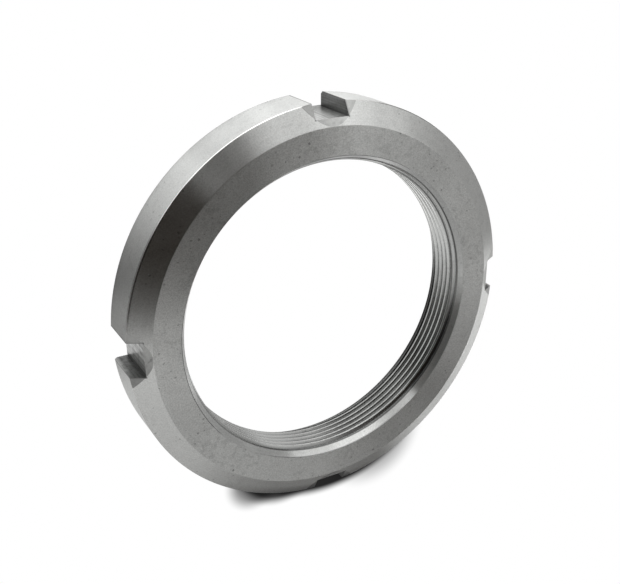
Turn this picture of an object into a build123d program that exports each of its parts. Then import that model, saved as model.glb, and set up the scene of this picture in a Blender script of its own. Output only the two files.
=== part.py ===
# A bearing lock nut: a flat ring nut with a fine thread in its bore and four spanner slots in its rim,
# turned and milled from one piece of steel. It lies on its back face with its axis along +Z and its
# chamfered face up, and the origin is the centre of the back face. Lengths are in millimetres and
# angles in degrees.
import os
from math import ceil, radians, sqrt, tan

from build123d import *

# Thread M90 x 2, right-hand. The middle of its groove starts above the +X axis, at a height below the back.
thread_diameter = 90
thread_pitch = 2
thread_start_height = -0.37
thread_half_angle = 30

# Ring. The wall is measured from the thread's major diameter and makes the nut 120 across.
ring_wall = 15
ring_width = 16

# Turned edges. The cone runs from the rim to the flat face and makes the face 108 across.
cone_width = 6
cone_angle = 27
outer_edge_radius = 0.3
back_rim_chamfer = 0.8
mouth_margin = 1
mouth_half_angle = 30

# Spanner slots, with a flat round each one that slopes a little more steeply than the cone
slot_count = 4
slot_width = 10
slot_depth = 4
flat_extra_slope = 2.4

root_radius = thread_diameter / 2
thread_sharp_height = thread_pitch / 2 / tan(radians(thread_half_angle))
crest_radius = root_radius - thread_sharp_height * 5 / 8
mouth_radius = root_radius + mouth_margin
mouth_depth = (mouth_radius - crest_radius) / tan(radians(mouth_half_angle))
outer_radius = root_radius + ring_wall
face_radius = outer_radius - cone_width
rim_height = ring_width - cone_width * tan(radians(cone_angle))
flat_drop = 2 * cone_width * tan(radians(cone_angle + flat_extra_slope))
slot_planes = [Plane.XZ.rotated((0, 360 * index / slot_count, 0)) for index in range(slot_count)]

# The groove's outline reaches a little inside the crests, so that it cuts them cleanly.
groove_root_width = thread_pitch / 8
groove_inner_radius = crest_radius - thread_sharp_height / 12
groove_flank_width = (root_radius - groove_inner_radius) * tan(radians(thread_half_angle))
groove_inner_width = groove_root_width + 2 * groove_flank_width

with BuildPart() as lock_nut:
    with BuildSketch(Plane.XZ) as ring_section:
        with BuildLine():
            Polyline(
                (crest_radius, mouth_depth),
                (mouth_radius, 0),
                (outer_radius - back_rim_chamfer, 0),
                (outer_radius, back_rim_chamfer),
                (outer_radius, rim_height),
                (face_radius, ring_width),
                (mouth_radius, ring_width),
                (crest_radius, ring_width - mouth_depth),
                close=True,
            )
        make_face()
        rim_corner = ring_section.vertices().group_by(Axis.X)[-1].sort_by(Axis.Y)[-1]
        face_corner = ring_section.vertices().group_by(Axis.Y)[-1].sort_by(Axis.X)[-1]
        fillet([rim_corner, face_corner], radius=outer_edge_radius)
    revolve(axis=Axis.Z)

    # The thread's groove is cut one turn at a time, from below the back face to above the front one.
    for turn in range(ceil((ring_width - thread_start_height) / thread_pitch)):
        turn_height = thread_start_height + turn * thread_pitch
        with BuildLine() as turn_path:
            Helix(pitch=thread_pitch, height=thread_pitch, radius=root_radius, center=(0, 0, turn_height))
        with BuildSketch(Plane.XZ):
            with BuildLine():
                Polyline(
                    (groove_inner_radius, turn_height - groove_inner_width / 2),
                    (root_radius, turn_height - groove_root_width / 2),
                    (root_radius, turn_height + groove_root_width / 2),
                    (groove_inner_radius, turn_height + groove_inner_width / 2),
                    close=True,
                )
            make_face()
        sweep(path=turn_path.line, is_frenet=True, mode=Mode.SUBTRACT)

    # The flats start where the cone meets the face and leave the ring through its rim.
    with BuildSketch(*slot_planes):
        with BuildLine():
            Polyline(
                (face_radius, ring_width),
                (face_radius + 2 * cone_width, ring_width - flat_drop),
                (face_radius + 2 * cone_width, ring_width),
                close=True,
            )
        make_face()
    extrude(amount=outer_radius, both=True, mode=Mode.SUBTRACT)

    # The slots go through the whole width.
    with BuildSketch(Plane.XY):
        with PolarLocations(outer_radius, slot_count):
            Rectangle(2 * slot_depth, slot_width)
    extrude(amount=ring_width, mode=Mode.SUBTRACT)

lock_nut.part.label = "lock_nut"

os.makedirs("parts", exist_ok=True)
export_step(lock_nut.part, "parts/lock_nut.step")
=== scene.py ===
# Slotted lock nut in satin steel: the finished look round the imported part, in metres and in its frame.
from math import cos, pi, radians, sin, sqrt, tan

import bpy
from mathutils import Euler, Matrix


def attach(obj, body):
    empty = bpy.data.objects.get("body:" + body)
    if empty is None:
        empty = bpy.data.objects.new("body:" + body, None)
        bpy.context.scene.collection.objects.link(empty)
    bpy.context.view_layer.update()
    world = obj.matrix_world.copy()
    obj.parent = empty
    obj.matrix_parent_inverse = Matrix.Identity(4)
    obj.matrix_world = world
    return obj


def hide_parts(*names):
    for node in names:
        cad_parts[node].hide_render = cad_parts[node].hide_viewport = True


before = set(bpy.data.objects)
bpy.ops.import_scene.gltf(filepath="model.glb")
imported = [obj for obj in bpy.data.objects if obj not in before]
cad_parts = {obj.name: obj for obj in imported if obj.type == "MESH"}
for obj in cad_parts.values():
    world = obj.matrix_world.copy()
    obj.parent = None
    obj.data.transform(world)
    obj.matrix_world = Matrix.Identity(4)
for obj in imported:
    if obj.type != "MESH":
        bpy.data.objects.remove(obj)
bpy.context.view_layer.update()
bodyName = "root"
nodeName = "lock_nut"
mm = 0.001
print("frame loaded:", sorted(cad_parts))

scene = bpy.context.scene
scene.view_settings.view_transform = "Standard"


# Small helpers for node trees, of shapes and of looks

socketTypes = {float: "NodeSocketFloat", int: "NodeSocketInt", tuple: "NodeSocketVector"}


def addNode(tree, kind, feeds=None, **settings):
    # feeds maps a socket's name or number to a value, or to the output that drives it.
    node = tree.nodes.new(kind)
    for name, value in settings.items():
        setattr(node, name, value)
    for key, value in (feeds or {}).items():
        if isinstance(value, bpy.types.NodeSocket):
            tree.links.new(value, node.inputs[key])
        else:
            node.inputs[key].default_value = value
    return node


def newTree(name, kind, inputs):
    # An input is given by the value it starts with, or by its socket's type if it starts empty.
    tree = bpy.data.node_groups.new(name, kind)
    for label, start in inputs.items():
        if isinstance(start, str):
            tree.interface.new_socket(label, in_out="INPUT", socket_type=start)
        else:
            socket = tree.interface.new_socket(label, in_out="INPUT", socket_type=socketTypes[type(start)])
            socket.default_value = start
    return tree, addNode(tree, "NodeGroupInput").outputs


def finishTree(tree, results, socketType="NodeSocketFloat"):
    for label in results:
        tree.interface.new_socket(label, in_out="OUTPUT", socket_type=socketType)
    addNode(tree, "NodeGroupOutput", results)
    return tree


def maths(tree, operation, *values):
    return addNode(tree, "ShaderNodeMath", dict(enumerate(values)), operation=operation).outputs[0]


def split(tree, vector):
    return addNode(tree, "ShaderNodeSeparateXYZ", {0: vector}).outputs


def joined(tree, x=0.0, y=0.0, z=0.0):
    return addNode(tree, "ShaderNodeCombineXYZ", {0: x, 1: y, 2: z}).outputs[0]


def lengthOf(tree, vector):
    return addNode(tree, "ShaderNodeVectorMath", {0: vector}, operation="LENGTH").outputs["Value"]


def mixed(tree, factor, low, high):
    feeds = {"Factor": factor, "A": low, "B": high}
    return addNode(tree, "ShaderNodeMix", feeds, data_type="FLOAT").outputs[0]


def fade(tree, value, start, end, low=1.0, high=0.0):
    # low up to the start, high from the end, with a smooth step between
    return addNode(tree, "ShaderNodeMapRange", {
        "Value": value,
        "From Min": start,
        "From Max": end,
        "To Min": low,
        "To Max": high,
    }, interpolation_type="SMOOTHSTEP").outputs[0]


def within(tree, distance, half, soft):
    # 1 inside the half width, falling to 0 over the softness on either side of its edge
    return fade(tree, distance, maths(tree, "SUBTRACT", half, soft), maths(tree, "ADD", half, soft))


def noise(tree, place, detail):
    feeds = {"Vector": place, "Scale": 1.0, "Detail": detail}
    return addNode(tree, "ShaderNodeTexNoise", feeds).outputs["Fac"]


# Camera, where the photograph was taken from

photoCamera = {
    "place": (-0.1183, 0.11127, 0.21604),
    "turn": (-26.533, -30.295, 0.1),
    "lens": 52.562,
    "sensor": 36,
    "shift": (-0.0329, 0.0607),
    "clip": (0.01, 20),
}


def makeCamera(look):
    lens = bpy.data.cameras.new("photo_camera")
    lens.sensor_width = look["sensor"]
    lens.lens = look["lens"]
    lens.shift_x, lens.shift_y = look["shift"]
    lens.clip_start, lens.clip_end = look["clip"]
    camera = bpy.data.objects.new("photo_camera", lens)
    camera.location = look["place"]
    camera.rotation_euler = Euler([radians(angle) for angle in look["turn"]])
    scene.collection.objects.link(camera)
    scene.camera = camera


makeCamera(photoCamera)
print("camera placed")


# The nut's sizes, which its finishes use too, and how its mesh is made. Angles are in degrees. The width of
# the thread's roots and the depth of its cutter are in pitches.

nutSizes = {
    "outerRadius": 60 * mm,
    "faceRadius": 54 * mm,
    "width": 16 * mm,
    "coneAngle": 27,
    "edgeRounding": 0.3 * mm,
    "backChamfer": 0.8 * mm,
    "mouthRadius": 46 * mm,
    "mouthHalfAngle": 30,
    "threadRadius": 45 * mm,
    "pitch": 2 * mm,
    "threadStart": 1.63 * mm,
    "slotCount": 4,
    "slotWidth": 10 * mm,
    "slotDepth": 4 * mm,
    "flatAngle": 29.4,
    "grooveHalfAngle": 30,
    "grooveDepth": 0.69,
    "rootWidth": 1 / 8,
    "extraTurns": 4,
    "wedge": (14 * mm, 100 * mm, 8 * mm),
    "steps": 360,
    "arcPoints": 4,
    "besideCorner": 1.5,
    "weld": 0.002 * mm,
    "levelEnough": 0.999,
    "roundEnough": 0.9,
    "rimBand": 1 * mm,
    "creaseAngle": 20,
}


def crestRadiusOf(size):
    # The thread's crests stand five eighths of a sharp thread's height inside its roots.
    sharpHeight = size["pitch"] * sqrt(3) / 2
    return size["threadRadius"] - sharpHeight * 5 / 8


def rimHeightOf(size):
    coneWidth = size["outerRadius"] - size["faceRadius"]
    return size["width"] - coneWidth * tan(radians(size["coneAngle"]))


# Shared effects of the steel's finishes

def turningLines():
    # Fine rings left by the lathe. They come and go slowly round the circle.
    group, given = newTree("turning lines", "ShaderNodeTree", {
        "Place": "NodeSocketVector",
        "Spacing": 0.4 * mm,
        "Wander": 30 * mm,
        "Detail": 2.0,
    })
    parts = split(group, given["Place"])
    radius = lengthOf(group, joined(group, parts[0], parts[1]))
    out = maths(group, "DIVIDE", radius, given["Spacing"])
    up = maths(group, "DIVIDE", parts[2], given["Spacing"])
    roundabout = maths(group, "DIVIDE", maths(group, "ADD", parts[0], parts[1]), given["Wander"])
    rings = noise(group, joined(group, out, up, roundabout), given["Detail"])
    return finishTree(group, {"Lines": rings})


def blotches():
    # Uneven tone in patches of the given size, which may be long one way.
    group, given = newTree("blotches", "ShaderNodeTree", {
        "Place": "NodeSocketVector",
        "Size": (4 * mm, 4 * mm, 4 * mm),
        "Detail": 2.0,
    })
    at = addNode(group, "ShaderNodeVectorMath", {0: given["Place"], 1: given["Size"]}, operation="DIVIDE")
    return finishTree(group, {"Tone": noise(group, at.outputs[0], given["Detail"])})


def pits():
    # Small dark pits in loose clusters, or wider stains when they are soft and common
    group, given = newTree("pits", "ShaderNodeTree", {
        "Place": "NodeSocketVector",
        "Size": 0.5 * mm,
        "Rarity": 0.7,
        "Softness": 0.05,
        "Cluster Size": 9.0,
        "Cluster Start": 0.4,
        "Cluster End": 0.6,
    })

    def cloudOf(size, start, end):
        tightness = maths(group, "DIVIDE", 1.0, size)
        feeds = {0: given["Place"], "Scale": tightness}
        near = addNode(group, "ShaderNodeVectorMath", feeds, operation="SCALE").outputs[0]
        return fade(group, noise(group, near, 0.0), start, end, 0.0, 1.0)

    edge = maths(group, "ADD", given["Rarity"], given["Softness"])
    spot = cloudOf(given["Size"], given["Rarity"], edge)
    clusterSize = maths(group, "MULTIPLY", given["Size"], given["Cluster Size"])
    cluster = cloudOf(clusterSize, given["Cluster Start"], given["Cluster End"])
    return finishTree(group, {"Pit": maths(group, "MULTIPLY", spot, cluster)})


def marks():
    # Painted light and shade that follow the nut's edges: lines, shade in the slots' corners and on the
    # flats, and parts of the chamfers and thread. The top slots are the two on the Y axis, the side slots
    # the two on the X axis, and the painted shade in their corners is given by how far it reaches.
    group, given = newTree("marks", "ShaderNodeTree", {
        "Place": "NodeSocketVector",
        "Line": 0.5 * mm,
        "Half Slot": 5 * mm,
        "Slot Root": 56 * mm,
        "Top Wall Shade": 8 * mm,
        "Top Root Shade": 1 * mm,
        "Side Wall Shade": 4.6 * mm,
        "Side Root Shade": 1.6 * mm,
        "Shade Haze": 0.35,
        "Shade Core": 0.55,
        "Core Start": 0.5,
        "Core End": 0.8,
        "Lean Start": -1.6,
        "Rim Radius": 60 * mm,
        "Rim Height": 13 * mm,
        "Mouth Radius": 46 * mm,
        "Root Radius": 45 * mm,
        "Crest Radius": 44 * mm,
        "Pitch": 2 * mm,
        "Thread Start": 0.0,
        "Runout Rise": 4.9 * mm,
        "Runout Height": 12.45 * mm,
        "Back Height": 3.6 * mm,
        "Slack": 0.01 * mm,
    })
    parts = split(group, given["Place"])
    radius = lengthOf(group, joined(group, parts[0], parts[1]))
    line = given["Line"]

    def lineWidths(count):
        return maths(group, "MULTIPLY", line, count)

    def apartFrom(value, target):
        return maths(group, "ABSOLUTE", maths(group, "SUBTRACT", value, target))

    halfLine = lineWidths(0.5)

    # slots: a line along each edge, where the finishes paint shade, or a highlight
    sideX = maths(group, "ABSOLUTE", parts[0])
    sideY = maths(group, "ABSOLUTE", parts[1])
    isTop = maths(group, "LESS_THAN", sideX, sideY)
    along = maths(group, "SUBTRACT", maths(group, "MAXIMUM", sideX, sideY), given["Slot Root"])
    onEdge = fade(group, apartFrom(maths(group, "MINIMUM", sideX, sideY), given["Half Slot"]), 0.0, line)
    beyondRoot = maths(group, "GREATER_THAN", along, lineWidths(-0.5))
    slotEdgePaint = maths(group, "MULTIPLY", onEdge, beyondRoot)

    # painted shade in one corner of each slot's root, which runs up the wall and over the root
    side = mixed(group, isTop, maths(group, "MULTIPLY", parts[1], -1.0), parts[0])
    rootReach = mixed(group, isTop, given["Side Root Shade"], given["Top Root Shade"])
    wallReach = mixed(group, isTop, given["Side Wall Shade"], given["Top Wall Shade"])
    overRoot = maths(group, "DIVIDE", apartFrom(side, given["Half Slot"]), rootReach)
    upWall = maths(group, "DIVIDE", maths(group, "ABSOLUTE", along), wallReach)
    apart = maths(group, "ADD", overRoot, upWall)
    haze = fade(group, apart, 0.0, 1.0, given["Shade Haze"])
    core = fade(group, apart, given["Core Start"], given["Core End"], given["Shade Core"])
    rootCornerShade = maths(group, "ADD", haze, core)

    # flats: painted shade on one side of their slot
    across = mixed(group, isTop, parts[1], parts[0])
    leanStart = maths(group, "MULTIPLY", given["Half Slot"], given["Lean Start"])
    lean = fade(group, across, leanStart, given["Half Slot"])

    # the rim's upper edge, where the finishes paint its reflection darker or lighter, and a painted shade
    # that deepens from the slots' roots out to the rim
    offRadius = apartFrom(radius, given["Rim Radius"])
    offHeight = apartFrom(parts[2], given["Rim Height"])
    rimEdgeReflection = fade(group, maths(group, "ADD", offRadius, offHeight), line, lineWidths(1.5))
    lowEdgeShade = fade(group, radius, given["Slot Root"], given["Rim Radius"], 0.0, 1.0)

    # mouth: a painted shade line round it, and its chamfer, which the finishes paint darker by sector
    mouthShadeLine = fade(group, apartFrom(radius, given["Mouth Radius"]), 0.0, halfLine)
    mouthLimit = maths(group, "ADD", given["Mouth Radius"], given["Slack"])
    beforeMouth = maths(group, "LESS_THAN", radius, mouthLimit)
    offCrest = maths(group, "SUBTRACT", radius, given["Crest Radius"])
    mouthChamferPaint = maths(group, "MULTIPLY", beforeMouth, fade(group, offCrest, halfLine, line, 0.0, 1.0))

    # painted shade at the bore's far edge, over the back chamfer and a little above it
    aboveBack = maths(group, "SUBTRACT", parts[2], given["Back Height"])
    backEdgeShade = maths(group, "MULTIPLY", beforeMouth, fade(group, aboveBack, 0.0, lineWidths(1.6)))

    # thread's last turn: a painted shade line where the groove's upper edge climbs the chamfer at three
    # quarters of the pitch
    chamferClimb = 3 / 4
    turned = maths(group, "DIVIDE", maths(group, "ARCTAN2", parts[1], parts[0]), 2 * pi)
    climb = maths(group, "ADD", maths(group, "MULTIPLY", turned, given["Pitch"]), given["Thread Start"])
    stretched = maths(group, "MULTIPLY", parts[2], 1 / chamferClimb)
    height = maths(group, "SUBTRACT", stretched, given["Runout Rise"])
    aboveEdge = maths(group, "FLOORED_MODULO", maths(group, "SUBTRACT", height, climb), given["Pitch"])
    nearEdge = fade(group, aboveEdge, line, lineWidths(1.5))
    isHigh = maths(group, "GREATER_THAN", parts[2], given["Runout Height"])
    boreLimit = maths(group, "SUBTRACT", given["Mouth Radius"], lineWidths(1.7))
    inBore = maths(group, "LESS_THAN", radius, boreLimit)
    runoutShade = maths(group, "MULTIPLY", maths(group, "MULTIPLY", nearEdge, isHigh), inBore)

    # thread's groove, where the finishes paint shade that deepens with depth, or light in one sector, and a
    # painted shade line where its flank meets the crest
    groove = fade(group, radius, given["Crest Radius"], given["Root Radius"], 0.0, 1.0)
    lip = fade(group, offCrest, lineWidths(0.3), lineWidths(0.6))
    return finishTree(group, {
        "Painted Slot Edge": slotEdgePaint,
        "Root Corner Shade": rootCornerShade,
        "Flat Side Shade": lean,
        "Rim Edge Reflection": rimEdgeReflection,
        "Low Edge Shade": lowEdgeShade,
        "Mouth Shade Line": mouthShadeLine,
        "Painted Mouth Chamfer": mouthChamferPaint,
        "Runout Shade": runoutShade,
        "Back Edge Shade": backEdgeShade,
        "Painted Groove": groove,
        "Lip Shade": lip,
    })


def sectors():
    # 1 inside a sector round the axis, in degrees, falling to 0 over its soft edges
    group, given = newTree("sector", "ShaderNodeTree", {
        "Place": "NodeSocketVector",
        "Centre": 0.0,
        "Half": 30.0,
        "Soft": 5.0,
    })
    parts = split(group, given["Place"])
    azimuth = maths(group, "DEGREES", maths(group, "ARCTAN2", parts[1], parts[0]))
    away = maths(group, "ADD", maths(group, "SUBTRACT", azimuth, given["Centre"]), 180.0)
    wrapped = maths(group, "FLOORED_MODULO", away, 360.0)
    distance = maths(group, "ABSOLUTE", maths(group, "SUBTRACT", wrapped, 180.0))
    return finishTree(group, {"Share": within(group, distance, given["Half"], given["Soft"])})


effects = {
    "lines": turningLines(),
    "blotches": blotches(),
    "pits": pits(),
    "marks": marks(),
    "sector": sectors(),
}


def effect(tree, name, place, **values):
    return addNode(tree, "ShaderNodeGroup", {"Place": place, **values}, node_tree=effects[name]).outputs


def sector(tree, place, centre, half, soft):
    return effect(tree, "sector", place, Centre=centre, Half=half, Soft=soft)[0]


# What all the finishes share. The depth is in bump steps, and the brush's turn is a quarter of a circle.
surfaceLook = {
    "bumpStep": 0.001 * mm,
    "pitDepth": 8.0,
    "stainSoftness": 0.12,
    "brushTurn": 0.25,
}

# Each finish of the steel. A tone is how far an effect moves the colour, and a depth how far it moves the
# surface, in bump steps. A mark is painted light and shade: it paints shade by its tone, or light where that
# is below zero. With a centre it is there only in that sector, in degrees round the axis, and without a name
# it paints shade or light over the whole sector.
steelFinishes = {
    "turned steel": {
        "colour": (0.545, 0.552, 0.542), "roughness": 0.31, "anisotropy": 1.0,
        "lineSpacing": 0.35 * mm, "lineTone": 0.12, "lineDepth": 0.6,
        "patchSize": (5 * mm, 5 * mm, 5 * mm), "patchTone": 0.12, "patchRoughness": 0.05,
        "grainSize": 0.35 * mm, "grainTone": 0.6, "grainDepth": 1.6,
        "stainSize": 1.6 * mm, "stainRarity": 0.56, "stainTone": 0.06,
        "pitSize": 1.0 * mm, "pitRarity": 0.76, "pitTone": 0.3,
        "marks": [
            {"mark": "Painted Slot Edge", "tone": 0.75},
            {"mark": "Runout Shade", "tone": 0.45},
            {"mark": "Runout Shade", "tone": 0.5, "centre": -72, "half": 56, "soft": 10},
            {"mark": "Runout Shade", "tone": 0.5, "centre": 32, "half": 32, "soft": 8},
            {"mark": "Rim Edge Reflection", "tone": 0.5, "centre": 158, "half": 12, "soft": 4},
            {"mark": "Low Edge Shade", "tone": 0.5, "centre": 262, "half": 20, "soft": 14},
            {"mark": "Mouth Shade Line", "tone": 0.6, "centre": 272, "half": 30, "soft": 8},
            {"mark": "Painted Mouth Chamfer", "tone": 0.24, "centre": 36, "half": 28, "soft": 10},
            {"mark": "Painted Mouth Chamfer", "tone": 0.5, "centre": 100, "half": 26, "soft": 8},
            {"mark": "Painted Mouth Chamfer", "tone": 0.45, "centre": 180, "half": 10, "soft": 8},
            {"mark": "Painted Mouth Chamfer", "tone": 0.2, "centre": 214, "half": 16, "soft": 6},
            {"mark": "Painted Mouth Chamfer", "tone": 0.25, "centre": -23, "half": 13, "soft": 5},
            {"mark": "Painted Mouth Chamfer", "tone": 0.2, "centre": 262, "half": 9, "soft": 4},
            {"mark": "Back Edge Shade", "tone": 0.35, "centre": -58, "half": 66, "soft": 8},
            {"mark": "Back Edge Shade", "tone": 0.4, "centre": -22, "half": 22, "soft": 8},
            {"tone": -0.1, "centre": 69, "half": 4, "soft": 3},
            {"tone": 0.1, "centre": 79, "half": 4, "soft": 3},
            {"tone": -0.11, "centre": 106, "half": 3, "soft": 3},
            {"tone": 0.12, "centre": 123, "half": 3, "soft": 3},
            {"tone": 0.15, "centre": 300, "half": 5, "soft": 5},
        ],
    },
    "faced steel": {
        "colour": (0.58, 0.588, 0.577), "roughness": 0.31, "anisotropy": 1.0,
        "lineSpacing": 0.5 * mm, "lineTone": 0.09, "lineDepth": 0.5,
        "patchSize": (6 * mm, 6 * mm, 6 * mm), "patchTone": 0.14, "patchRoughness": 0.06,
        "grainSize": 0.35 * mm, "grainTone": 0.85, "grainDepth": 2.4,
        "stainSize": 1.4 * mm, "stainRarity": 0.53, "stainTone": 0.11,
        "pitSize": 1.0 * mm, "pitRarity": 0.73, "pitTone": 0.4,
        "marks": [
            {"tone": 0.15, "centre": 230, "half": 30, "soft": 14},
            {"tone": 0.14, "centre": 58, "half": 18, "soft": 10},
            {"tone": 0.08, "centre": 127, "half": 8, "soft": 8},
            {"tone": -0.09, "centre": 98, "half": 14, "soft": 8},
            {"tone": -0.1, "centre": 164, "half": 10, "soft": 6},
            {"mark": "Mouth Shade Line", "tone": 0.12},
            {"mark": "Mouth Shade Line", "tone": 0.6, "centre": 78, "half": 18, "soft": 6},
            {"mark": "Mouth Shade Line", "tone": 0.95, "centre": 190, "half": 26, "soft": 6},
        ],
    },
    "polished edge": {
        "colour": (0.6, 0.6, 0.59), "roughness": 0.14, "anisotropy": 0.0,
        "lineSpacing": 0.1 * mm, "lineTone": 0.06, "lineDepth": 0.0,
        "patchSize": (3 * mm, 3 * mm, 3 * mm), "patchTone": 0.2, "patchRoughness": 0.04,
        "grainSize": 0.4 * mm, "grainTone": 0.1, "grainDepth": 0.0,
        "stainSize": 1.6 * mm, "stainRarity": 0.6, "stainTone": 0.1,
        "pitSize": 1.0 * mm, "pitRarity": 0.75, "pitTone": 0.3,
        "marks": [
            {"mark": "Rim Edge Reflection", "tone": 0.3, "centre": 250, "half": 60, "soft": 8},
            {"mark": "Rim Edge Reflection", "tone": 0.4, "centre": 68, "half": 16, "soft": 4},
            {"mark": "Rim Edge Reflection", "tone": -0.5, "centre": 122, "half": 22, "soft": 5},
            {"mark": "Rim Edge Reflection", "tone": 0.3, "centre": -40, "half": 26, "soft": 8},
            {"mark": "Rim Edge Reflection", "tone": 0.4, "centre": 158, "half": 12, "soft": 4},
            {"mark": "Low Edge Shade", "tone": 0.5, "centre": 262, "half": 20, "soft": 14},
        ],
    },
    "threaded steel": {
        "colour": (0.425, 0.431, 0.424), "roughness": 0.24, "anisotropy": 0.3,
        "lineSpacing": 0.2 * mm, "lineTone": 0.1, "lineDepth": 0.0,
        "patchSize": (9 * mm, 9 * mm, 2 * mm), "patchTone": 0.16, "patchRoughness": 0.04,
        "grainSize": 0.5 * mm, "grainTone": 0.1, "grainDepth": 0.0,
        "stainSize": 1.6 * mm, "stainRarity": 0.6, "stainTone": 0.1,
        "pitSize": 1.0 * mm, "pitRarity": 0.75, "pitTone": 0.3,
        "marks": [
            {"tone": -0.3, "centre": 40, "half": 28, "soft": 10},
            {"tone": -0.22, "centre": -56, "half": 18, "soft": 8},
            {"tone": 0.3, "centre": -112, "half": 18, "soft": 8},
            {"mark": "Painted Groove", "tone": 0.36},
            {"mark": "Painted Groove", "tone": -0.5, "centre": 50, "half": 20, "soft": 10},
            {"mark": "Painted Groove", "tone": 0.7, "centre": -29, "half": 18, "soft": 8},
            {"mark": "Painted Groove", "tone": 0.3, "centre": -113, "half": 18, "soft": 8},
            {"mark": "Lip Shade", "tone": 0.75, "centre": -58, "half": 28, "soft": 8},
            {"mark": "Back Edge Shade", "tone": 0.5, "centre": -58, "half": 66, "soft": 8},
            {"mark": "Back Edge Shade", "tone": 0.5, "centre": -22, "half": 22, "soft": 8},
        ],
    },
    "milled steel": {
        "colour": (0.515, 0.522, 0.512), "roughness": 0.3, "anisotropy": 0.3,
        "lineSpacing": 3 * mm, "lineTone": 0.0, "lineDepth": 0.0,
        "patchSize": (0.7 * mm, 0.7 * mm, 20 * mm), "patchTone": 1.8, "patchRoughness": 0.12,
        "grainSize": 0.6 * mm, "grainTone": 0.5, "grainDepth": 2.0,
        "stainSize": 1.8 * mm, "stainRarity": 0.5, "stainTone": 0.3,
        "pitSize": 1.0 * mm, "pitRarity": 0.72, "pitTone": 0.35,
        "marks": [
            {"mark": "Root Corner Shade", "tone": 0.75},
            {"tone": 0.2, "centre": 84.9, "half": 0.4, "soft": 0.2},
            {"mark": "Low Edge Shade", "tone": 0.35, "centre": 185, "half": 0.4, "soft": 0.2},
            {"mark": "Low Edge Shade", "tone": 0.6, "centre": 268, "half": 22, "soft": 10},
        ],
    },
    "flat steel": {
        "colour": (0.405, 0.41, 0.402), "roughness": 0.36, "anisotropy": 0.4,
        "lineSpacing": 0.4 * mm, "lineTone": 0.08, "lineDepth": 0.0,
        "patchSize": (2 * mm, 2 * mm, 2 * mm), "patchTone": 0.35, "patchRoughness": 0.08,
        "grainSize": 0.5 * mm, "grainTone": 0.3, "grainDepth": 1.2,
        "stainSize": 1.6 * mm, "stainRarity": 0.56, "stainTone": 0.12,
        "pitSize": 1.0 * mm, "pitRarity": 0.73, "pitTone": 0.3,
        "marks": [
            {"mark": "Painted Slot Edge", "tone": 0.4},
            {"mark": "Painted Slot Edge", "tone": -0.6, "centre": 95.5, "half": 1.5, "soft": 1},
            {"mark": "Flat Side Shade", "tone": 0.36},
            {"tone": 0.2, "centre": 79, "half": 5, "soft": 2},
            {"mark": "Low Edge Shade", "tone": 0.75, "centre": 268, "half": 22, "soft": 10},
        ],
    },
}


def makeSteel(name, finish, look, size):
    steel = bpy.data.materials.new(name)
    steel.use_nodes = True
    tree = steel.node_tree
    tree.nodes.clear()
    place = addNode(tree, "ShaderNodeTexCoord").outputs["Object"]
    lines = effect(tree, "lines", place, Spacing=finish["lineSpacing"])[0]
    patch = effect(tree, "blotches", place, Size=finish["patchSize"])[0]
    grain = effect(tree, "blotches", place, Size=(finish["grainSize"],) * 3)[0]
    pit = effect(tree, "pits", place, Size=finish["pitSize"], Rarity=finish["pitRarity"])[0]
    stain = effect(tree, "pits", place, **{
        "Size": finish["stainSize"],
        "Rarity": finish["stainRarity"],
        "Softness": look["stainSoftness"],
    })[0]
    found = effect(tree, "marks", place, **{
        "Half Slot": size["slotWidth"] / 2,
        "Slot Root": size["outerRadius"] - size["slotDepth"],
        "Rim Radius": size["outerRadius"],
        "Rim Height": rimHeightOf(size),
        "Mouth Radius": size["mouthRadius"],
        "Root Radius": size["threadRadius"],
        "Crest Radius": crestRadiusOf(size),
        "Pitch": size["pitch"],
        "Thread Start": size["threadStart"],
    })

    def swing(value, share):
        # The value's swing about its middle, times the share
        return maths(tree, "MULTIPLY", maths(tree, "SUBTRACT", value, 0.5), share)

    tone = maths(tree, "ADD", swing(lines, finish["lineTone"]), 1.0)
    tone = maths(tree, "ADD", tone, swing(patch, finish["patchTone"]))
    tone = maths(tree, "ADD", tone, swing(grain, finish["grainTone"]))
    tone = maths(tree, "SUBTRACT", tone, maths(tree, "MULTIPLY", pit, finish["pitTone"]))
    tone = maths(tree, "SUBTRACT", tone, maths(tree, "MULTIPLY", stain, finish["stainTone"]))
    # Painted light and shade: each mark darkens the colour by its tone, or lightens it where the tone is
    # below zero.
    for mark in finish["marks"]:
        shade = mark["tone"]
        if "mark" in mark:
            shade = maths(tree, "MULTIPLY", found[mark["mark"]], shade)
        if "centre" in mark:
            there = sector(tree, place, mark["centre"], mark["half"], mark["soft"])
            shade = maths(tree, "MULTIPLY", shade, there)
        tone = maths(tree, "MULTIPLY", tone, maths(tree, "SUBTRACT", 1.0, shade))
    colour = addNode(tree, "ShaderNodeVectorMath", {0: finish["colour"], "Scale": tone}, operation="SCALE")
    roughness = maths(tree, "ADD", swing(patch, finish["patchRoughness"]), finish["roughness"])
    height = maths(tree, "MULTIPLY", lines, finish["lineDepth"])
    height = maths(tree, "ADD", height, maths(tree, "MULTIPLY", grain, finish["grainDepth"]))
    height = maths(tree, "SUBTRACT", height, maths(tree, "MULTIPLY", pit, look["pitDepth"]))
    bump = addNode(tree, "ShaderNodeBump", {"Strength": 1.0, "Distance": look["bumpStep"], "Height": height})
    tangent = addNode(tree, "ShaderNodeTangent", direction_type="RADIAL", axis="Z")
    shader = addNode(tree, "ShaderNodeBsdfPrincipled", {
        "Base Color": colour.outputs[0],
        "Metallic": 1,
        "Roughness": roughness,
        "Anisotropic": finish["anisotropy"],
        "Anisotropic Rotation": look["brushTurn"],
        "Tangent": tangent.outputs[0],
        "Normal": bump.outputs[0],
    })
    addNode(tree, "ShaderNodeOutputMaterial", {"Surface": shader.outputs[0]})
    return steel


steels = {name: makeSteel(name, finish, surfaceLook, nutSizes) for name, finish in steelFinishes.items()}
print("steel mixed:", len(steels), "finishes")


# The nut: a section turned round the axis, then cut by the flats, the slots and the thread

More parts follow.
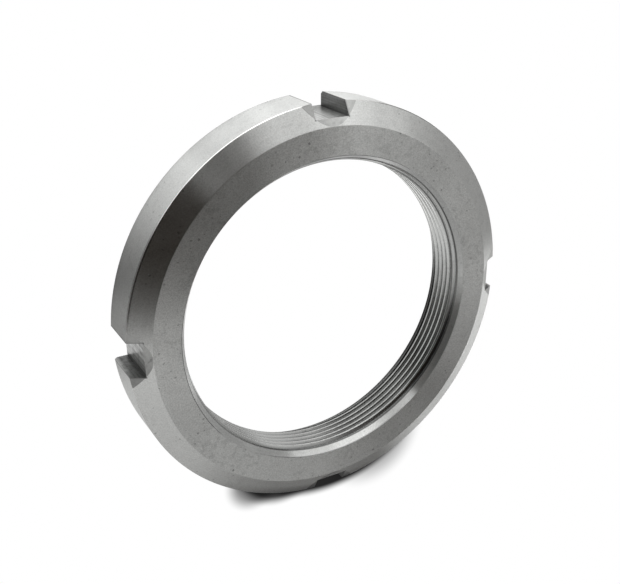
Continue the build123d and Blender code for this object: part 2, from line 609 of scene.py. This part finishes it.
def nutSection(size):
    # The turned section as (radius, height, rounding) points. The points beside a rounded corner keep
    # its shading off the wide surfaces.
    crest, mouth = crestRadiusOf(size), size["mouthRadius"]
    outer, face, width = size["outerRadius"], size["faceRadius"], size["width"]
    chamfer, rounding = size["backChamfer"], size["edgeRounding"]
    rimHeight = rimHeightOf(size)
    mouthDepth = (mouth - crest) / tan(radians(size["mouthHalfAngle"]))
    beside = size["besideCorner"] * rounding
    besideX = beside * cos(radians(size["coneAngle"]))
    besideY = beside * sin(radians(size["coneAngle"]))
    return [
        (crest, mouthDepth, 0),
        (mouth, 0, 0),
        (outer - chamfer, 0, 0),
        (outer, chamfer, 0),
        (outer, rimHeight - beside, 0),
        (outer, rimHeight, rounding),
        (outer - besideX, rimHeight + besideY, 0),
        (face + besideX, width - besideY, 0),
        (face, width, rounding),
        (face - beside, width, 0),
        (mouth, width, 0),
        (crest, width - mouthDepth, 0),
    ]


def sectionOutline(points):
    mesh = bpy.data.meshes.new("nut_section")
    corners = [(radius, 0, height) for radius, height, rounding in points]
    edges = [(index, (index + 1) % len(corners)) for index in range(len(corners))]
    mesh.from_pydata(corners, edges, [])
    rounding = mesh.attributes.new("rounding", "FLOAT", "POINT")
    rounding.data.foreach_set("value", [point[2] for point in points])
    return mesh


def moved(tree, geometry, by=(0, 0, 0), turn=(0, 0, 0)):
    feeds = {0: geometry, "Translation": by, "Rotation": turn}
    return addNode(tree, "GeometryNodeTransform", feeds).outputs[0]


def painted(tree, geometry, material, where=True):
    return addNode(tree, "GeometryNodeSetMaterial", {
        "Geometry": geometry,
        "Selection": where,
        "Material": material,
    }).outputs[0]


def cutAway(tree, body, cutter):
    return addNode(tree, "GeometryNodeMeshBoolean", {
        "Mesh 1": body,
        "Mesh 2": cutter,
    }, operation="DIFFERENCE", solver="EXACT").outputs


def shaded(tree, geometry, domain, isSmooth, where=True):
    return addNode(tree, "GeometryNodeSetShadeSmooth", {
        "Geometry": geometry,
        "Selection": where,
        "Shade Smooth": isSmooth,
    }, domain=domain).outputs[0]


def swept(tree, path, profile, caps=False):
    # The profile stays upright along the path.
    upright = addNode(tree, "GeometryNodeSetCurveNormal", {0: path}, mode="Z_UP")
    return addNode(tree, "GeometryNodeCurveToMesh", {
        "Curve": upright.outputs[0],
        "Profile Curve": profile,
        "Fill Caps": caps,
    }).outputs[0]


def turnedRing(tree, given, size):
    # The section is rounded, laid down and swept round a circle at the rim's radius.
    rounding = addNode(tree, "GeometryNodeInputNamedAttribute", {"Name": "rounding"}, data_type="FLOAT")
    amount = rounding.outputs["Attribute"]
    outline = addNode(tree, "GeometryNodeMeshToCurve", {0: given["Section"]})
    rounded = addNode(tree, "GeometryNodeFilletCurve", {
        "Curve": outline.outputs[0],
        "Count": maths(tree, "MULTIPLY", maths(tree, "GREATER_THAN", amount, 0), size["arcPoints"]),
        "Radius": amount,
    }, mode="POLY")
    inward = maths(tree, "MULTIPLY", given["Outer Radius"], -1)
    movedIn = moved(tree, rounded.outputs[0], by=joined(tree, inward))
    circle = addNode(tree, "GeometryNodeCurvePrimitiveCircle", {
        "Resolution": given["Steps"],
        "Radius": given["Outer Radius"],
    })
    ring = swept(tree, circle.outputs[0], moved(tree, movedIn, turn=(radians(90), 0, 0)))
    welded = addNode(tree, "GeometryNodeMergeByDistance", {"Geometry": ring, "Distance": size["weld"]})

    # Level surfaces are faced, and the rim's rounding is polished.
    ring = painted(tree, welded.outputs[0], given["Turned"])
    normal = addNode(tree, "GeometryNodeInputNormal").outputs[0]
    level = maths(tree, "ABSOLUTE", split(tree, normal)[2])
    ring = painted(tree, ring, given["Faced"], maths(tree, "GREATER_THAN", level, size["levelEnough"]))
    almostRounding = maths(tree, "MULTIPLY", given["Edge Rounding"], size["roundEnough"])
    isRounded = maths(tree, "GREATER_THAN", amount, almostRounding)
    faceCentre = addNode(tree, "GeometryNodeInputPosition").outputs[0]
    rimStart = maths(tree, "SUBTRACT", given["Outer Radius"], size["rimBand"])
    isAtRim = maths(tree, "GREATER_THAN", lengthOf(tree, faceCentre), rimStart)
    return painted(tree, ring, given["Edge"], maths(tree, "MULTIPLY", isRounded, isAtRim))


def roundTheRim(tree, cutter, count):
    # A copy of the cutter at every slot
    places = addNode(tree, "GeometryNodePoints", {"Count": count})
    share = maths(tree, "DIVIDE", addNode(tree, "GeometryNodeInputIndex").outputs[0], count)
    placed = addNode(tree, "GeometryNodeInstanceOnPoints", {
        "Points": places.outputs[0],
        "Instance": cutter,
        "Rotation": joined(tree, z=maths(tree, "MULTIPLY", share, 2 * pi)),
    })
    return addNode(tree, "GeometryNodeRealizeInstances", {0: placed.outputs[0]}).outputs[0]


def withFlats(tree, body, given, size):
    # The flats start at the edge of the face and slope down through the rim.
    wedge = addNode(tree, "GeometryNodeMeshCube", {"Size": size["wedge"]})
    onCorner = moved(tree, wedge.outputs[0], by=(size["wedge"][0] / 2, 0, size["wedge"][2] / 2))
    faceEdge = joined(tree, x=given["Face Radius"], z=given["Width"])
    tilted = moved(tree, onCorner, by=faceEdge, turn=joined(tree, y=given["Flat Angle"]))
    cutters = painted(tree, roundTheRim(tree, tilted, given["Slot Count"]), given["Flat"])
    cut = cutAway(tree, body, cutters)
    return shaded(tree, cut["Mesh"], "EDGE", False, cut["Intersecting Edges"])


def withSlots(tree, body, given):
    # The slots go right through. Each cutter reaches out as far as it reaches in.
    reach = maths(tree, "MULTIPLY", given["Slot Depth"], 2)
    height = maths(tree, "MULTIPLY", given["Width"], 2)
    block = addNode(tree, "GeometryNodeMeshCube", {"Size": joined(tree, reach, given["Slot Width"], height)})
    middle = maths(tree, "MULTIPLY", given["Width"], 0.5)
    atRim = moved(tree, block.outputs[0], by=joined(tree, x=given["Outer Radius"], z=middle))
    cutters = painted(tree, roundTheRim(tree, atRim, given["Slot Count"]), given["Milled"])
    return cutAway(tree, body, cutters)["Mesh"]


def withThread(tree, body, given, size):
    # The thread's groove is a trapezium swept along a helix that leaves the bore at both ends.
    turnsInWidth = maths(tree, "DIVIDE", given["Width"], given["Pitch"])
    turns = maths(tree, "ADD", turnsInWidth, size["extraTurns"])
    helix = addNode(tree, "GeometryNodeCurveSpiral", {
        "Resolution": given["Steps"],
        "Rotations": turns,
        "Start Radius": given["Thread Radius"],
        "End Radius": given["Thread Radius"],
        "Height": maths(tree, "MULTIPLY", turns, given["Pitch"]),
        "Reverse": True,
    })
    below = maths(tree, "MULTIPLY", given["Pitch"], -size["extraTurns"] / 2)
    start = joined(tree, z=maths(tree, "ADD", below, given["Thread Start"]))
    depth = maths(tree, "MULTIPLY", given["Pitch"], size["grooveDepth"])
    rootWidth = maths(tree, "MULTIPLY", given["Pitch"], size["rootWidth"])
    flanks = maths(tree, "MULTIPLY", depth, 2 * tan(radians(size["grooveHalfAngle"])))
    groove = addNode(tree, "GeometryNodeCurvePrimitiveQuadrilateral", {
        "Height": depth,
        "Bottom Width": maths(tree, "ADD", rootWidth, flanks),
        "Top Width": rootWidth,
        "Offset": 0,
    }, mode="TRAPEZOID")
    grooveMoved = moved(tree, groove.outputs[0], by=joined(tree, y=maths(tree, "MULTIPLY", depth, -0.5)))
    grooveTurned = moved(tree, grooveMoved, turn=(0, 0, radians(-90)))
    path = moved(tree, helix.outputs[0], by=start)
    cutter = painted(tree, swept(tree, path, grooveTurned, caps=True), given["Threaded"])
    return cutAway(tree, body, cutter)["Mesh"]


def nutTree(size):
    tree, given = newTree("lock nut from its section", "GeometryNodeTree", {
        "Section": "NodeSocketGeometry",
        "Outer Radius": 60 * mm,
        "Face Radius": 54 * mm,
        "Width": 16 * mm,
        "Edge Rounding": 0.3 * mm,
        "Thread Radius": 45 * mm,
        "Pitch": 2 * mm,
        "Thread Start": 0.0,
        "Slot Count": 4,
        "Slot Width": 10 * mm,
        "Slot Depth": 4 * mm,
        "Flat Angle": 0.5,
        "Steps": 360,
        "Turned": "NodeSocketMaterial",
        "Faced": "NodeSocketMaterial",
        "Edge": "NodeSocketMaterial",
        "Threaded": "NodeSocketMaterial",
        "Milled": "NodeSocketMaterial",
        "Flat": "NodeSocketMaterial",
    })
    ring = turnedRing(tree, given, size)
    notched = withSlots(tree, withFlats(tree, ring, given, size), given)
    threaded = withThread(tree, notched, given, size)

    # Smooth all over, but for the sharp edges and those that the flats made
    smooth = shaded(tree, threaded, "FACE", True)
    edgeAngle = addNode(tree, "GeometryNodeInputMeshEdgeAngle").outputs["Unsigned Angle"]
    isSharp = maths(tree, "GREATER_THAN", edgeAngle, radians(size["creaseAngle"]))
    creased = shaded(tree, smooth, "EDGE", False, isSharp)
    real = addNode(tree, "GeometryNodeRealizeInstances", {0: creased})
    return finishTree(tree, {"Geometry": real.outputs[0]}, "NodeSocketGeometry")


def meshFromTree(name, base, tree, values):
    # Runs the tree once on the base mesh and keeps the result as a plain mesh.
    maker = bpy.data.objects.new(name + "_maker", base)
    scene.collection.objects.link(maker)
    modifier = maker.modifiers.new("form", "NODES")
    modifier.node_group = tree
    for item in tree.interface.items_tree:
        if item.item_type == "SOCKET" and item.in_out == "INPUT" and item.name in values:
            modifier[item.identifier] = values[item.name]
    bpy.context.view_layer.update()
    evaluated = maker.evaluated_get(bpy.context.evaluated_depsgraph_get())
    mesh = bpy.data.meshes.new_from_object(evaluated)
    maker.modifiers.remove(modifier)
    bpy.data.objects.remove(maker)
    mesh.name = name
    piece = bpy.data.objects.new(name, mesh)
    scene.collection.objects.link(piece)
    return piece


nutOutline = sectionOutline(nutSection(nutSizes))
nut = meshFromTree("nut_steel", nutOutline, nutTree(nutSizes), {
    "Outer Radius": nutSizes["outerRadius"],
    "Face Radius": nutSizes["faceRadius"],
    "Width": nutSizes["width"],
    "Edge Rounding": nutSizes["edgeRounding"],
    "Thread Radius": nutSizes["threadRadius"],
    "Pitch": nutSizes["pitch"],
    "Thread Start": nutSizes["threadStart"],
    "Slot Count": nutSizes["slotCount"],
    "Slot Width": nutSizes["slotWidth"],
    "Slot Depth": nutSizes["slotDepth"],
    "Flat Angle": radians(nutSizes["flatAngle"]),
    "Steps": nutSizes["steps"],
    "Turned": steels["turned steel"],
    "Faced": steels["faced steel"],
    "Edge": steels["polished edge"],
    "Threaded": steels["threaded steel"],
    "Milled": steels["milled steel"],
    "Flat": steels["flat steel"],
})
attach(nut, bodyName)
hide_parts(nodeName)
print("nut made:", len(nut.data.vertices), "points,", len(nut.data.polygons), "faces")


# Studio and floor

# Every box is a soft-edged patch of sky, in degrees round the nut's axis and above the floor.
studioBoxes = [
    # the long box at the top of the picture, and the panel above its right half, brighter at one corner
    {"centre": 83.5, "half": 44.2, "softAcross": 3, "low": -20, "high": 15, "softUp": 30, "strength": 3.7},
    {"centre": 51, "half": 41, "softAcross": 3, "low": 24, "high": 56, "softUp": 3, "strength": 1.42},
    {"centre": 19, "half": 8, "softAcross": 5, "low": 32, "high": 47, "softUp": 6, "strength": 0.3},
    # strip and fill at the lower right
    {"centre": 324, "half": 17, "softAcross": 4, "low": -20, "high": 16, "softUp": 4, "strength": 3},
    {"centre": 348, "half": 28, "softAcross": 4, "low": -20, "high": 55, "softUp": 4, "strength": 0.55},
    # pale ground at the lower left
    {"centre": 236, "half": 34, "softAcross": 16, "low": -20, "high": 48, "softUp": 16, "strength": 0.82},
    # window beside the strip and higher, and a reflector above the pale ground
    {"centre": 294, "half": 19, "softAcross": 14, "low": 33, "high": 53, "softUp": 14, "strength": 1.12},
    {"centre": 243, "half": 21, "softAcross": 9, "low": 46, "high": 73, "softUp": 9, "strength": 1.02},
]
dimRoom = {"colour": (1.0, 0.72, 0.5, 1), "strength": 0.02}


def mixedByRay(tree, others, camera):
    # One shader for the camera's rays, another for all the others
    rays = addNode(tree, "ShaderNodeLightPath")
    return addNode(tree, "ShaderNodeMixShader", {
        0: rays.outputs["Is Camera Ray"],
        1: others.outputs[0],
        2: camera.outputs[0],
    }).outputs[0]


def makeWorld(boxes, room):
    world = bpy.data.worlds.new("studio")
    world.use_nodes = True
    tree = world.node_tree
    tree.nodes.clear()
    direction = addNode(tree, "ShaderNodeTexCoord").outputs["Generated"]
    elevation = maths(tree, "DEGREES", maths(tree, "ARCSINE", split(tree, direction)[2]))
    total = 0.0
    for box in boxes:
        across = sector(tree, direction, box["centre"], box["half"], box["softAcross"])
        middle = (box["low"] + box["high"]) / 2
        height = maths(tree, "ABSOLUTE", maths(tree, "SUBTRACT", elevation, middle))
        upright = within(tree, height, (box["high"] - box["low"]) / 2, box["softUp"])
        light = maths(tree, "MULTIPLY", maths(tree, "MULTIPLY", across, upright), box["strength"])
        total = maths(tree, "ADD", total, light)
    lit = addNode(tree, "ShaderNodeBackground", {"Color": total, "Strength": 1})
    dim = addNode(tree, "ShaderNodeBackground", {"Color": room["colour"], "Strength": room["strength"]})
    studio = addNode(tree, "ShaderNodeAddShader", {0: lit.outputs[0], 1: dim.outputs[0]})
    white = addNode(tree, "ShaderNodeBackground", {"Color": (1, 1, 1, 1), "Strength": 1})
    addNode(tree, "ShaderNodeOutputWorld", {"Surface": mixedByRay(tree, studio, white)})
    scene.world = world


# What the steel sees of the floor is a glow, a level with brighter and darker patches round the axis:
# painted light, and painted shade under the nut. The camera sees white paper with the nut's soft shadow
# painted on it, laid together from discs.
floorLook = {
    "reach": 3.0,
    "albedo": 0.5,
    "outside": {"level": 0.12, "patches": [
        {"centre": 102.5, "half": 42.5, "soft": 18, "gain": 1.07},
        {"centre": 213, "half": 26, "soft": 10, "gain": 0.48},
        {"centre": 174, "half": 6, "soft": 5, "gain": 0.15},
    ]},
    "inHole": {"level": 0.85, "patches": [
        {"centre": -11, "half": 13, "soft": 10, "gain": -0.2},
        {"centre": -106, "half": 18, "soft": 6, "gain": -0.3},
        {"centre": 42, "half": 26, "soft": 12, "gain": 1.2},
    ]},
    "underNut": {"level": 0.0, "patches": [
        {"centre": 190, "half": 13, "soft": 4, "gain": 0.7},
        {"centre": 87, "half": 9, "soft": 3, "gain": 0.47},
    ]},
    "rimRadius": 60.5 * mm,
    "boreRadius": 44 * mm,
    "shadows": [
        {"place": (7.8 * mm, -25.5 * mm), "radius": 47.4 * mm, "soft": 1.9 * mm, "depth": 0.98},
        {"place": (-9.0 * mm, -53.8 * mm), "radius": 17.5 * mm, "soft": 2.2 * mm, "depth": 0.93},
        {"place": (24.5 * mm, -57.3 * mm), "radius": 16.5 * mm, "soft": 5.2 * mm, "depth": 0.55},
        {"place": (-19.5 * mm, -60.9 * mm), "radius": 8.6 * mm, "soft": 2.8 * mm, "depth": 0.7},
    ],
    "clearRadius": 52 * mm,
    "clearSoft": 2 * mm,
}


def levelRound(tree, place, look):
    total = look["level"]
    for patch in look["patches"]:
        inside = sector(tree, place, patch["centre"], patch["half"], patch["soft"])
        total = maths(tree, "ADD", total, maths(tree, "MULTIPLY", inside, patch["gain"]))
    return total


def steelsView(tree, place, radius, look):
    # Matt ground, with a glow of painted light whose level differs in the hole, under the nut and beyond its
    # rim, and is nearly dark under the nut as painted shade
    isInHole = maths(tree, "LESS_THAN", radius, look["boreRadius"])
    isUnder = maths(tree, "LESS_THAN", radius, look["rimRadius"])
    zones = {name: levelRound(tree, place, look[name]) for name in ("outside", "inHole", "underNut")}
    level = mixed(tree, isUnder, zones["outside"], mixed(tree, isInHole, zones["underNut"], zones["inHole"]))
    matt = addNode(tree, "ShaderNodeBsdfDiffuse", {"Color": (look["albedo"],) * 3 + (1,)})
    paintedGlow = addNode(tree, "ShaderNodeEmission", {"Color": level, "Strength": 1})
    return addNode(tree, "ShaderNodeAddShader", {0: matt.outputs[0], 1: paintedGlow.outputs[0]})


def camerasView(tree, place, radius, look):
    # White paper, darker under the discs. The shade ends at the hole, which stays white.
    paperLight = 1.0
    for shadow in look["shadows"]:
        feeds = {0: place, 1: (*shadow["place"], 0)}
        away = addNode(tree, "ShaderNodeVectorMath", feeds, operation="DISTANCE").outputs["Value"]
        inShadow = within(tree, away, shadow["radius"], shadow["soft"])
        shade = maths(tree, "MULTIPLY", inShadow, shadow["depth"])
        paperLight = maths(tree, "MULTIPLY", paperLight, maths(tree, "SUBTRACT", 1.0, shade))
    totalShade = maths(tree, "SUBTRACT", 1.0, paperLight)
    shadeStart = look["clearRadius"] - look["clearSoft"]
    beyondHole = fade(tree, radius, shadeStart, look["clearRadius"] + look["clearSoft"], 0.0, 1.0)
    whiteness = maths(tree, "SUBTRACT", 1.0, maths(tree, "MULTIPLY", totalShade, beyondHole))
    return addNode(tree, "ShaderNodeEmission", {"Color": whiteness, "Strength": 1})


def makeFloor(look):
    paper = bpy.data.materials.new("white floor")
    paper.use_nodes = True
    tree = paper.node_tree
    tree.nodes.clear()
    place = addNode(tree, "ShaderNodeTexCoord").outputs["Object"]
    radius = lengthOf(tree, place)
    lit, white = steelsView(tree, place, radius, look), camerasView(tree, place, radius, look)
    addNode(tree, "ShaderNodeOutputMaterial", {"Surface": mixedByRay(tree, lit, white)})
    reach = look["reach"]
    corners = [(-reach, -reach, 0), (reach, -reach, 0), (reach, reach, 0), (-reach, reach, 0)]
    mesh = bpy.data.meshes.new("floor")
    mesh.from_pydata(corners, [], [(0, 1, 2, 3)])
    mesh.materials.append(paper)
    floor = bpy.data.objects.new("floor", mesh)
    scene.collection.objects.link(floor)


makeWorld(studioBoxes, dimRoom)
makeFloor(floorLook)
print("stage set")
